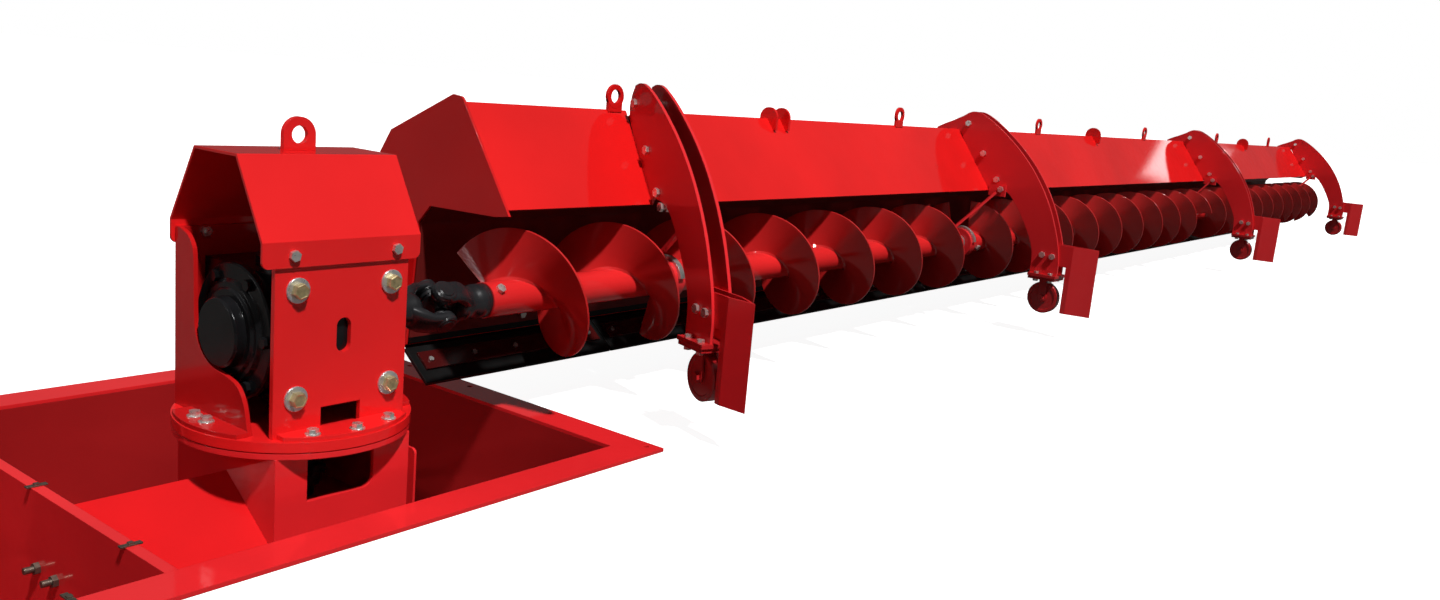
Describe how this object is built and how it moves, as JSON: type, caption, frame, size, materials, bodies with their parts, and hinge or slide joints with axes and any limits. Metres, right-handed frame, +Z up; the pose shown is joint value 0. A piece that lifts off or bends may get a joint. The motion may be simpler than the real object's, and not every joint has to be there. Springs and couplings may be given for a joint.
{
  "type": "bin sweep screw conveyor",
  "caption": "Long screw conveyor under a folded sheet hood, turning on a gearbox turntable over a floor sump and rolling on wheeled arms, with a rubber wiper behind the screw.",
  "frame": {"origin": "Centre of the front anchor pattern on top of the sump rim, which is also the upright axis the sweep turns about.", "axes": "+X runs outward along the screw, +Z is up, +Y points to the back of the hood, the open front of the screw faces -Y."},
  "size_m": [9.334, 1.248, 1.1972],
  "materials": {
    "red_paint": "high gloss red enamel",
    "dark_red_paint": "gloss dark red enamel",
    "black_paint": "semi-gloss black enamel",
    "wiper_rubber": "smooth black rubber sheet",
    "yellow_zinc": "yellow zinc plate",
    "bright_zinc": "bright zinc plate",
    "bare_steel": "turned steel"
  },
  "bodies": {
    "sump": {"sump_pan": "red_paint", "sump_rim": "red_paint", "divider_wall": "red_paint", "divider_clips": "bright_zinc", "divider_bolts": "bright_zinc", "grain_ramp": "red_paint", "pedestal": "red_paint", "pedestal_guide": "red_paint", "lower_table": "red_paint"},
    "input_drive": {"drive_shaft": "bare_steel", "drive_coupling": "black_paint"},
    "sweep": {"upper_table": "red_paint", "housing_front": "red_paint", "housing_back": "red_paint", "roof": "red_paint", "roof_eye": "red_paint", "housing_bolts": "bright_zinc", "gearbox_bolts": "yellow_zinc", "foot_bolts": "bright_zinc", "gearbox_case": "black_paint", "gearbox_cover": "black_paint", "cover_bolts": "black_paint", "hood_1": "red_paint", "hood_2": "red_paint", "hood_3": "red_paint", "hood_4": "red_paint", "hood_end": "red_paint", "lifting_lugs": "red_paint", "wiper_strips": "wiper_rubber", "clamp_bars": "dark_red_paint", "clamp_bolts": "bright_zinc", "hangers": "red_paint", "hanger_clamps": "bright_zinc", "arm_1_inner": "red_paint", "arm_1_outer": "red_paint", "arm_2_inner": "red_paint", "arm_2_outer": "red_paint", "arm_3_inner": "red_paint", "arm_3_outer": "red_paint", "arm_4": "red_paint", "arm_spacers": "bright_zinc", "arm_bolts": "bright_zinc", "paddles": "red_paint", "wheel_forks": "red_paint", "fork_bolts": "bright_zinc"},
    "screw": {"yoke_inner": "black_paint", "yoke_cross": "black_paint", "yoke_outer": "black_paint", "auger_tube": "red_paint", "stub_shafts": "bare_steel", "flighting_1": "red_paint", "flighting_2": "red_paint", "flighting_3": "red_paint", "flighting_4": "red_paint", "flighting_5": "red_paint", "tube_bolts": "bright_zinc"},
    "wheel_one": {"wheel_1": "red_paint"},
    "wheel_two": {"wheel_2": "red_paint"},
    "wheel_three": {"wheel_3": "red_paint"},
    "wheel_four": {"wheel_4": "red_paint"}
  },
  "joints": [
    {"name": "drive_spin", "type": "hinge", "parent": "sump", "child": "input_drive", "pos_m": [0, 0, -0.2], "axis": [0, 0, 1], "continuous": true},
    {"name": "sweep_turn", "type": "hinge", "parent": "sump", "child": "sweep", "pos_m": [0, 0, 0.107], "axis": [0, 0, 1], "continuous": true},
    {"name": "screw_spin", "type": "hinge", "parent": "sweep", "child": "screw", "pos_m": [0.4, 0, 0.288], "axis": [1, 0, 0], "continuous": true},
    {"name": "wheel_one_roll", "type": "hinge", "parent": "sweep", "child": "wheel_one", "pos_m": [0.83408, -0.29114, 0.13], "axis": [0.9455, -0.3256, 0], "continuous": true},
    {"name": "wheel_two_roll", "type": "hinge", "parent": "sweep", "child": "wheel_two", "pos_m": [2.789, -0.3, 0.13], "axis": [1, 0, 0], "continuous": true},
    {"name": "wheel_three_roll", "type": "hinge", "parent": "sweep", "child": "wheel_three", "pos_m": [5.663, -0.3, 0.13], "axis": [1, 0, 0], "continuous": true},
    {"name": "wheel_four_roll", "type": "hinge", "parent": "sweep", "child": "wheel_four", "pos_m": [8.487, -0.3, 0.13], "axis": [1, 0, 0], "continuous": true}
  ],
  "couplings": [
    {"joint": "drive_spin", "follows": "screw_spin", "ratio": 1.5}
  ]
}
